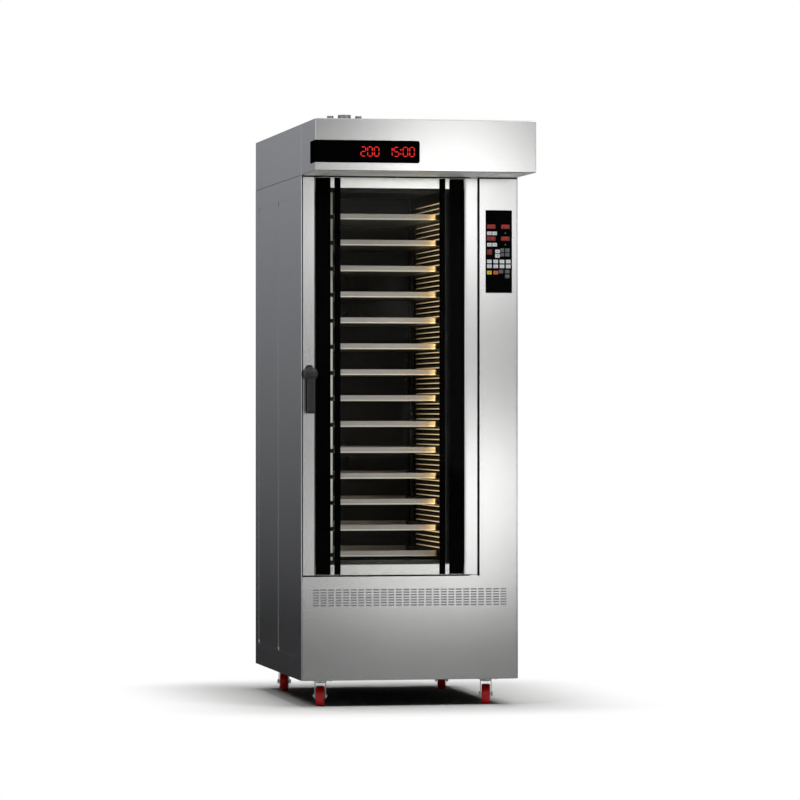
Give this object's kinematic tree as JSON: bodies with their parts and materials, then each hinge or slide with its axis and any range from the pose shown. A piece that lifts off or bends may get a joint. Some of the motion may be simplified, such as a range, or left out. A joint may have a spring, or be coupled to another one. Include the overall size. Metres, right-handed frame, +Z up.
{
  "type": "convection oven",
  "caption": "Tall free-standing convection oven on casters: glazed hinged door, stacked trays, side controls, front hood and roof flue.",
  "frame": {"origin": "on the floor, under the middle of the box round the whole oven", "axes": "+Z up, +X to the right seen from the front, the door faces -Y"},
  "size_m": [0.82, 1.413, 2.238],
  "materials": {
    "brushed_steel": "satin brushed stainless sheet",
    "cavity_steel": "heat-toned stainless sheet",
    "rack_steel": "bright stainless",
    "runner_steel": "dark heat-toned steel",
    "tray_steel": "bare tray sheet",
    "heater_steel": "heat-blackened steel",
    "zinc_plate": "zinc plated",
    "dark_paint": "matt black",
    "black_enamel": "satin black",
    "motor_grey": "satin grey",
    "black_gloss": "gloss black",
    "black_plastic": "matt black",
    "white_key": "matt white",
    "yellow_key": "matt yellow",
    "orange_key": "matt orange",
    "red_wheel": "dark red rubber",
    "silicone": "black silicone",
    "mineral_wool": "fibrous",
    "filter_mat": "fibrous",
    "clear_glass": "clear",
    "lamp_glass": "lit, warm white"
  },
  "bodies": {
    "cabinet": {"base_pan": "dark_paint", "left_side_panel": "brushed_steel", "right_side_panel": "brushed_steel", "front_panel": "brushed_steel", "rear_panel": "brushed_steel", "roof_box": "brushed_steel", "canopy": "brushed_steel", "hinge_plates": "brushed_steel", "intake_filter": "filter_mat", "cable_gland": "black_plastic", "facade_frame": "black_enamel", "cavity_liner": "cavity_steel", "fan_baffle": "cavity_steel", "air_duct_panel": "cavity_steel", "insulation_slabs": "mineral_wool", "display_strip": "black_gloss", "control_bezel": "black_gloss", "fan_motors": "motor_grey", "heater_rings": "heater_steel", "rack_posts": "rack_steel", "tray_runners": "runner_steel", "baking_trays": "tray_steel", "lamp_bar": "lamp_glass", "roof_pipes": "rack_steel", "electrics_boxes": "motor_grey", "caster_plates": "zinc_plate"},
    "door": {"door_frame": "brushed_steel", "outer_glass": "clear_glass", "inner_skin": "black_enamel", "inner_glass": "clear_glass", "door_gasket": "silicone", "handle_plate": "black_plastic"},
    "latch_handle": {"handle_lever": "black_plastic", "latch_spindle": "rack_steel"},
    "fan_lower": {"fan_wheel_lower": "cavity_steel"},
    "fan_upper": {"fan_wheel_upper": "cavity_steel"},
    "fork_front_left": {"caster_fork_front_left": "zinc_plate"},
    "wheel_front_left": {"caster_wheel_front_left": "red_wheel"},
    "fork_front_right": {"caster_fork_front_right": "zinc_plate"},
    "wheel_front_right": {"caster_wheel_front_right": "red_wheel"},
    "fork_rear_left": {"caster_fork_rear_left": "zinc_plate"},
    "wheel_rear_left": {"caster_wheel_rear_left": "red_wheel"},
    "fork_rear_right": {"caster_fork_rear_right": "zinc_plate"},
    "wheel_rear_right": {"caster_wheel_rear_right": "red_wheel"},
    "key_upper_one_cap": {"key_upper_one": "white_key"},
    "key_upper_two_cap": {"key_upper_two": "white_key"},
    "key_middle_one_cap": {"key_middle_one": "white_key"},
    "key_middle_two_cap": {"key_middle_two": "white_key"},
    "key_step_up_cap": {"key_step_up": "white_key"},
    "key_step_down_cap": {"key_step_down": "white_key"},
    "key_grid_high_one_cap": {"key_grid_high_one": "white_key"},
    "key_grid_high_two_cap": {"key_grid_high_two": "white_key"},
    "key_grid_high_three_cap": {"key_grid_high_three": "white_key"},
    "key_grid_high_four_cap": {"key_grid_high_four": "white_key"},
    "key_grid_low_one_cap": {"key_grid_low_one": "white_key"},
    "key_grid_low_two_cap": {"key_grid_low_two": "white_key"},
    "key_grid_low_three_cap": {"key_grid_low_three": "white_key"},
    "key_grid_low_four_cap": {"key_grid_low_four": "white_key"},
    "key_start_cap": {"key_start": "yellow_key"},
    "key_stop_cap": {"key_stop": "orange_key"}
  },
  "joints": [
    {"name": "door_hinge", "type": "hinge", "parent": "cabinet", "child": "door", "pos_m": [0.241, -0.3795, 1.227], "axis": [0, 0, 1], "range_deg": [0, 110]},
    {"name": "handle_turn", "type": "hinge", "parent": "door", "child": "latch_handle", "pos_m": [-0.3795, -0.42, 1.235], "axis": [0, -1, 0], "range_deg": [0, 90]},
    {"name": "fan_lower_spin", "type": "hinge", "parent": "cabinet", "child": "fan_lower", "pos_m": [-0.066, 0.4705, 0.9055], "axis": [0, 1, 0], "continuous": true},
    {"name": "fan_upper_spin", "type": "hinge", "parent": "cabinet", "child": "fan_upper", "pos_m": [-0.066, 0.4705, 1.5455], "axis": [0, 1, 0], "continuous": true},
    {"name": "swivel_front_left", "type": "hinge", "parent": "cabinet", "child": "fork_front_left", "pos_m": [-0.315, -0.2635, 0.09], "axis": [0, 0, 1], "continuous": true},
    {"name": "roll_front_left", "type": "hinge", "parent": "fork_front_left", "child": "wheel_front_left", "pos_m": [-0.32186, -0.29578, 0.0375], "axis": [0.9781, -0.2079, 0], "continuous": true},
    {"name": "swivel_front_right", "type": "hinge", "parent": "cabinet", "child": "fork_front_right", "pos_m": [0.315, -0.2635, 0.09], "axis": [0, 0, 1], "continuous": true},
    {"name": "roll_front_right", "type": "hinge", "parent": "fork_front_right", "child": "wheel_front_right", "pos_m": [0.30814, -0.29578, 0.0375], "axis": [0.9781, -0.2079, 0], "continuous": true},
    {"name": "swivel_rear_left", "type": "hinge", "parent": "cabinet", "child": "fork_rear_left", "pos_m": [-0.315, 0.5765, 0.09], "axis": [0, 0, 1], "continuous": true},
    {"name": "roll_rear_left", "type": "hinge", "parent": "fork_rear_left", "child": "wheel_rear_left", "pos_m": [-0.32186, 0.54422, 0.0375], "axis": [0.9781, -0.2079, 0], "continuous": true},
    {"name": "swivel_rear_right", "type": "hinge", "parent": "cabinet", "child": "fork_rear_right", "pos_m": [0.315, 0.5765, 0.09], "axis": [0, 0, 1], "continuous": true},
    {"name": "roll_rear_right", "type": "hinge", "parent": "fork_rear_right", "child": "wheel_rear_right", "pos_m": [0.30814, 0.54422, 0.0375], "axis": [0.9781, -0.2079, 0], "continuous": true},
    {"name": "key_upper_one_press", "type": "slide", "parent": "cabinet", "child": "key_upper_one_cap", "axis": [0, 1, 0], "range_m": [0, 0.0008], "stiffness_N_per_m": 1000},
    {"name": "key_upper_two_press", "type": "slide", "parent": "cabinet", "child": "key_upper_two_cap", "axis": [0, 1, 0], "range_m": [0, 0.0008], "stiffness_N_per_m": 1000},
    {"name": "key_middle_one_press", "type": "slide", "parent": "cabinet", "child": "key_middle_one_cap", "axis": [0, 1, 0], "range_m": [0, 0.0008], "stiffness_N_per_m": 1000},
    {"name": "key_middle_two_press", "type": "slide", "parent": "cabinet", "child": "key_middle_two_cap", "axis": [0, 1, 0], "range_m": [0, 0.0008], "stiffness_N_per_m": 1000},
    {"name": "key_step_up_press", "type": "slide", "parent": "cabinet", "child": "key_step_up_cap", "axis": [0, 1, 0], "range_m": [0, 0.0008], "stiffness_N_per_m": 1000},
    {"name": "key_step_down_press", "type": "slide", "parent": "cabinet", "child": "key_step_down_cap", "axis": [0, 1, 0], "range_m": [0, 0.0008], "stiffness_N_per_m": 1000},
    {"name": "key_grid_high_one_press", "type": "slide", "parent": "cabinet", "child": "key_grid_high_one_cap", "axis": [0, 1, 0], "range_m": [0, 0.0008], "stiffness_N_per_m": 1000},
    {"name": "key_grid_high_two_press", "type": "slide", "parent": "cabinet", "child": "key_grid_high_two_cap", "axis": [0, 1, 0], "range_m": [0, 0.0008], "stiffness_N_per_m": 1000},
    {"name": "key_grid_high_three_press", "type": "slide", "parent": "cabinet", "child": "key_grid_high_three_cap", "axis": [0, 1, 0], "range_m": [0, 0.0008], "stiffness_N_per_m": 1000},
    {"name": "key_grid_high_four_press", "type": "slide", "parent": "cabinet", "child": "key_grid_high_four_cap", "axis": [0, 1, 0], "range_m": [0, 0.0008], "stiffness_N_per_m": 1000},
    {"name": "key_grid_low_one_press", "type": "slide", "parent": "cabinet", "child": "key_grid_low_one_cap", "axis": [0, 1, 0], "range_m": [0, 0.0008], "stiffness_N_per_m": 1000},
    {"name": "key_grid_low_two_press", "type": "slide", "parent": "cabinet", "child": "key_grid_low_two_cap", "axis": [0, 1, 0], "range_m": [0, 0.0008], "stiffness_N_per_m": 1000},
    {"name": "key_grid_low_three_press", "type": "slide", "parent": "cabinet", "child": "key_grid_low_three_cap", "axis": [0, 1, 0], "range_m": [0, 0.0008], "stiffness_N_per_m": 1000},
    {"name": "key_grid_low_four_press", "type": "slide", "parent": "cabinet", "child": "key_grid_low_four_cap", "axis": [0, 1, 0], "range_m": [0, 0.0008], "stiffness_N_per_m": 1000},
    {"name": "key_start_press", "type": "slide", "parent": "cabinet", "child": "key_start_cap", "axis": [0, 1, 0], "range_m": [0, 0.0008], "stiffness_N_per_m": 1000},
    {"name": "key_stop_press", "type": "slide", "parent": "cabinet", "child": "key_stop_cap", "axis": [0, 1, 0], "range_m": [0, 0.0008], "stiffness_N_per_m": 1000}
  ]
}
